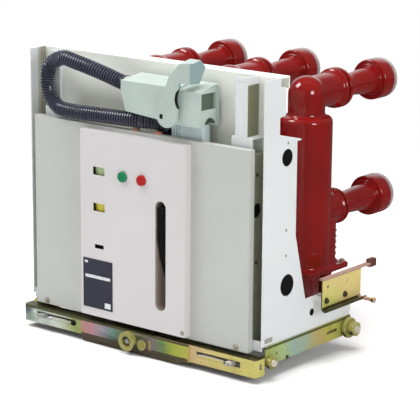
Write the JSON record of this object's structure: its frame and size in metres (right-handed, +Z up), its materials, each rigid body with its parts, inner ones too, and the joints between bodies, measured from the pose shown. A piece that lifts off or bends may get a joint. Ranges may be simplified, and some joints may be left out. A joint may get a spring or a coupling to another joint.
{
  "type": "withdrawable vacuum circuit breaker",
  "caption": "Three-pole indoor vacuum circuit breaker on a racking truck, with red resin poles, contact arms, front operating panel and control plug.",
  "frame": {"origin": "on the centre line, in the plane of the front cover's face, at the level of the chassis underside", "axes": "+X to the right seen from the front, +Y into the cubicle along the contact arms, +Z up"},
  "size_m": [0.776, 0.621, 0.646],
  "materials": {
    "white_paint": "satin",
    "grey_paint": "satin",
    "facia_paint": "satin",
    "yellow_zinc": "semi-gloss",
    "red_epoxy": "glossy",
    "plug_plastic": "satin",
    "hose_plastic": "matt",
    "contact_silver": "satin",
    "steel": "bright",
    "black_plastic": "matt",
    "green_plastic": "glossy",
    "red_plastic": "glossy",
    "green_flag": "matt",
    "yellow_flag": "matt",
    "plate_blue": "satin"
  },
  "bodies": {
    "truck": {"side_panel_left": "white_paint", "side_panel_right": "white_paint", "upper_beam": "white_paint", "rear_wall": "white_paint", "base_trough": "white_paint", "upper_posts": "white_paint", "mechanism_housing": "grey_paint", "front_cover": "grey_paint", "facia": "facia_paint", "position_window": "green_flag", "spring_window": "yellow_flag", "counter_window": "black_plastic", "nameplate": "plate_blue", "socket_base": "plug_plastic", "plug_hood": "plug_plastic", "corrugated_hose": "hose_plastic", "hose_gland": "black_plastic", "pole_left": "red_epoxy", "pole_middle": "red_epoxy", "pole_right": "red_epoxy", "upper_sleeves": "red_epoxy", "lower_sleeves": "red_epoxy", "upper_contacts": "contact_silver", "lower_contacts": "contact_silver", "rail_left": "yellow_zinc", "rail_right": "yellow_zinc", "screw_tray": "yellow_zinc", "shutter_bracket_left": "yellow_zinc", "shutter_bracket_right": "yellow_zinc"},
    "beam": {"crossbeam": "yellow_zinc", "racking_cover": "yellow_zinc", "guide_bars": "yellow_zinc"},
    "screw": {"racking_screw": "steel"},
    "tongue_left": {"lock_tongue_left": "steel"},
    "tongue_right": {"lock_tongue_right": "steel"},
    "close_key": {"close_button": "green_plastic"},
    "open_key": {"open_button": "red_plastic"},
    "lever": {"charging_lever": "black_plastic"},
    "latch": {"plug_latch": "plug_plastic"},
    "front_left": {"wheel_front_left": "yellow_zinc"},
    "front_right": {"wheel_front_right": "yellow_zinc"},
    "rear_left": {"wheel_rear_left": "yellow_zinc"},
    "rear_right": {"wheel_rear_right": "yellow_zinc"}
  },
  "joints": [
    {"name": "racking_slide", "type": "slide", "parent": "truck", "child": "beam", "axis": [0, -1, 0], "range_m": [0, 0.2]},
    {"name": "racking_screw_turn", "type": "hinge", "parent": "beam", "child": "screw", "pos_m": [-0.011, 0, 0.0285], "axis": [0, 1, 0], "range_deg": [0, 9000]},
    {"name": "tongue_left_slide", "type": "slide", "parent": "beam", "child": "tongue_left", "axis": [1, 0, 0], "range_m": [0, 0.012], "stiffness_N_per_m": 400, "springref_m": -0.01},
    {"name": "tongue_right_slide", "type": "slide", "parent": "beam", "child": "tongue_right", "axis": [-1, 0, 0], "range_m": [0, 0.012], "stiffness_N_per_m": 400, "springref_m": -0.01},
    {"name": "close_button_press", "type": "slide", "parent": "truck", "child": "close_key", "axis": [0, 1, 0], "range_m": [0, 0.005], "stiffness_N_per_m": 600, "springref_m": -0.004},
    {"name": "open_button_press", "type": "slide", "parent": "truck", "child": "open_key", "axis": [0, 1, 0], "range_m": [0, 0.005], "stiffness_N_per_m": 600, "springref_m": -0.004},
    {"name": "charging_lever_swing", "type": "hinge", "parent": "truck", "child": "lever", "pos_m": [0.0785, 0.032, 0.13], "axis": [1, 0, 0], "range_deg": [0, 70]},
    {"name": "plug_latch_swing", "type": "hinge", "parent": "truck", "child": "latch", "pos_m": [0.092, -0.0155, 0.531], "axis": [0, -1, 0], "range_deg": [0, 45]},
    {"name": "wheel_front_left_spin", "type": "hinge", "parent": "truck", "child": "front_left", "pos_m": [-0.329, 0.037, 0.0375], "axis": [1, 0, 0], "continuous": true},
    {"name": "wheel_front_right_spin", "type": "hinge", "parent": "truck", "child": "front_right", "pos_m": [0.329, 0.037, 0.0375], "axis": [1, 0, 0], "continuous": true},
    {"name": "wheel_rear_left_spin", "type": "hinge", "parent": "truck", "child": "rear_left", "pos_m": [-0.333, 0.316, 0.0465], "axis": [1, 0, 0], "continuous": true},
    {"name": "wheel_rear_right_spin", "type": "hinge", "parent": "truck", "child": "rear_right", "pos_m": [0.333, 0.316, 0.0465], "axis": [1, 0, 0], "continuous": true}
  ],
  "couplings": [
    {"joint": "racking_screw_turn", "follows": "racking_slide", "rad_per_m": 785}
  ]
}
